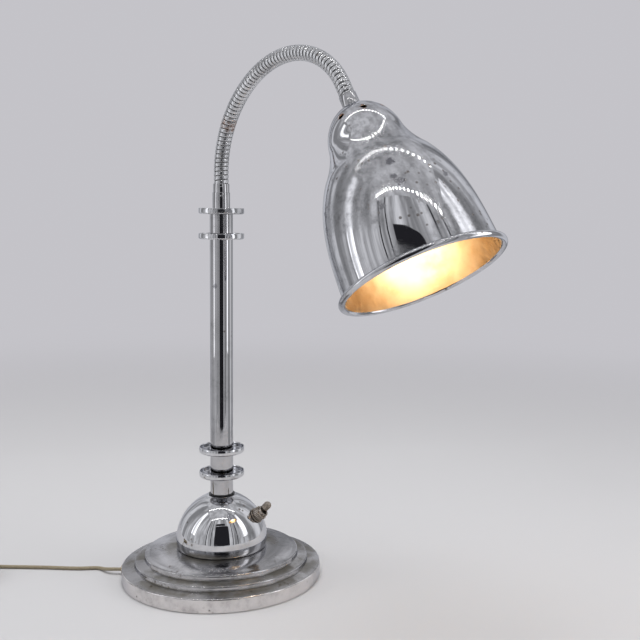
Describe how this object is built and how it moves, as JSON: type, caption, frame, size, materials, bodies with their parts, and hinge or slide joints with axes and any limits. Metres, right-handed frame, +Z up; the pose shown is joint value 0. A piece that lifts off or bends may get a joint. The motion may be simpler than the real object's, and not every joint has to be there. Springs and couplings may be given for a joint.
{
  "type": "gooseneck desk lamp",
  "caption": "Table lamp with a stepped round base, domed foot, slim column with cup rings, bendable ribbed neck, bell shade, toggle switch and mains cord.",
  "frame": {"origin": "centre of the base's underside, on the surface it stands on", "axes": "+Z up the column, +X towards the side the neck bends to, +Y to the left of that"},
  "size_m": [0.5524, 0.3116, 0.4717],
  "materials": {
    "chrome_shell": "aged polished chrome plate with grime in the steps",
    "chrome_tube": "aged polished chrome plate",
    "chrome_neck": "worn chrome over ribbed steel",
    "dark_collar": "blackened steel",
    "iron": "raw casting",
    "felt": "pressed felt",
    "steel": "plain zinc-plated steel",
    "brass": "dull brass",
    "fibre": "pressed fibre",
    "lead": "flexible lead",
    "block": "moulded",
    "grommet": "aged rubber",
    "switch_case": "moulded phenolic",
    "switch_metal": "tarnished and rusty",
    "ceramic": "unglazed",
    "bulb": "frosted inside, lit",
    "cap_metal": "thin rolled sheet",
    "filament": "tungsten and glass stem",
    "cord": "aged khaki flex",
    "tie": "soft strap",
    "plug": "moulded phenolic",
    "pins": "turned pins"
  },
  "bodies": {
    "base": {"base_shell": "chrome_shell", "base_weight": "iron", "base_felt": "felt", "dome": "chrome_shell", "dome_collar": "dark_collar", "sleeve_lower": "chrome_tube", "cup_ring_1": "chrome_shell", "sleeve_middle": "chrome_tube", "cup_ring_2": "chrome_shell", "column_tube": "chrome_tube", "cup_ring_3": "chrome_shell", "sleeve_upper": "chrome_tube", "cup_ring_4": "chrome_shell", "ferrule": "chrome_tube", "tie_rod": "steel", "tie_nut": "brass", "tie_washer": "steel", "centering_bushes": "fibre", "column_lead": "lead", "terminal_block": "block", "cord_grommet": "grommet", "cord_clamp": "block", "mains_lead_inner": "cord", "switch_body": "switch_case", "switch_bushing": "switch_metal", "switch_washer": "switch_metal", "switch_nut": "switch_metal", "switch_ring": "switch_metal", "switch_leads": "lead", "gooseneck_link_01": "chrome_neck", "gooseneck_lead": "lead", "power_cord": "cord", "cord_coil": "cord", "cord_tail": "cord", "coil_tie": "tie", "plug_body": "plug", "plug_pins": "pins"},
    "neck_02": {"gooseneck_link_02": "chrome_neck"},
    "neck_03": {"gooseneck_link_03": "chrome_neck"},
    "neck_04": {"gooseneck_link_04": "chrome_neck"},
    "neck_05": {"gooseneck_link_05": "chrome_neck"},
    "neck_06": {"gooseneck_link_06": "chrome_neck"},
    "neck_07": {"gooseneck_link_07": "chrome_neck"},
    "neck_08": {"gooseneck_link_08": "chrome_neck"},
    "neck_09": {"gooseneck_link_09": "chrome_neck"},
    "neck_10": {"gooseneck_link_10": "chrome_neck"},
    "neck_11": {"gooseneck_link_11": "chrome_neck"},
    "shade": {"gooseneck_link_12": "chrome_neck", "end_ferrule": "chrome_tube", "shade": "chrome_shell", "holder_nipple": "steel", "nipple_nut": "brass", "holder_cap": "brass", "holder_insulator": "ceramic", "holder_shell": "brass", "bulb_glass": "bulb", "bulb_cap": "cap_metal", "bulb_contact": "brass", "bulb_filament": "filament"},
    "lever": {"switch_lever": "switch_metal"}
  },
  "joints": [
    {"name": "neck_bend_01", "type": "hinge", "parent": "base", "child": "neck_02", "pos_m": [0, 0, 0.37832], "axis": [0, 1, 0], "range_deg": [-28, 4], "deforming": ["gooseneck_lead"]},
    {"name": "neck_bend_02", "type": "hinge", "parent": "neck_02", "child": "neck_03", "pos_m": [0.00409, 0, 0.39741], "axis": [0, 1, 0], "range_deg": [-28, 4]},
    {"name": "neck_side_03", "type": "hinge", "parent": "neck_03", "child": "neck_04", "pos_m": [0.01193, 0, 0.41529], "axis": [0.8726, 0, -0.4885], "range_deg": [-18, 18]},
    {"name": "neck_bend_04", "type": "hinge", "parent": "neck_04", "child": "neck_05", "pos_m": [0.02307, 0, 0.43131], "axis": [0, 1, 0], "range_deg": [-28, 4]},
    {"name": "neck_bend_05", "type": "hinge", "parent": "neck_05", "child": "neck_06", "pos_m": [0.03707, 0, 0.44492], "axis": [0, 1, 0], "range_deg": [-28, 4]},
    {"name": "neck_side_06", "type": "hinge", "parent": "neck_06", "child": "neck_07", "pos_m": [0.05344, 0, 0.45555], "axis": [0.4558, 0, -0.8901], "range_deg": [-18, 18]},
    {"name": "neck_bend_07", "type": "hinge", "parent": "neck_07", "child": "neck_08", "pos_m": [0.07163, 0, 0.46262], "axis": [0, 1, 0], "range_deg": [-32, 4]},
    {"name": "neck_bend_08", "type": "hinge", "parent": "neck_08", "child": "neck_09", "pos_m": [0.09094, 0, 0.46549], "axis": [0, 1, 0], "range_deg": [-32, 4]},
    {"name": "neck_side_09", "type": "hinge", "parent": "neck_09", "child": "neck_10", "pos_m": [0.11036, 0, 0.46353], "axis": [-0.2372, 0, -0.9715], "range_deg": [-18, 18]},
    {"name": "neck_bend_10", "type": "hinge", "parent": "neck_10", "child": "neck_11", "pos_m": [0.1285, 0, 0.45632], "axis": [0, 1, 0], "range_deg": [-32, 4]},
    {"name": "neck_bend_11", "type": "hinge", "parent": "neck_11", "child": "shade", "pos_m": [0.14353, 0, 0.44386], "axis": [0, 1, 0], "range_deg": [-32, 4]},
    {"name": "switch_toggle", "type": "hinge", "parent": "base", "child": "lever", "pos_m": [0.03296, 0.01537, 0.06053], "axis": [-0.4226, 0.9063, 0], "range_deg": [0, 24]}
  ],
  "couplings": [
    {"joint": "neck_bend_02", "follows": "neck_bend_01", "ratio": 1},
    {"joint": "neck_bend_04", "follows": "neck_bend_01", "ratio": 1},
    {"joint": "neck_bend_05", "follows": "neck_bend_01", "ratio": 1},
    {"joint": "neck_bend_07", "follows": "neck_bend_11", "ratio": 1},
    {"joint": "neck_bend_08", "follows": "neck_bend_11", "ratio": 1},
    {"joint": "neck_bend_10", "follows": "neck_bend_11", "ratio": 1},
    {"joint": "neck_side_06", "follows": "neck_side_03", "ratio": 1},
    {"joint": "neck_side_09", "follows": "neck_side_03", "ratio": 1}
  ]
}
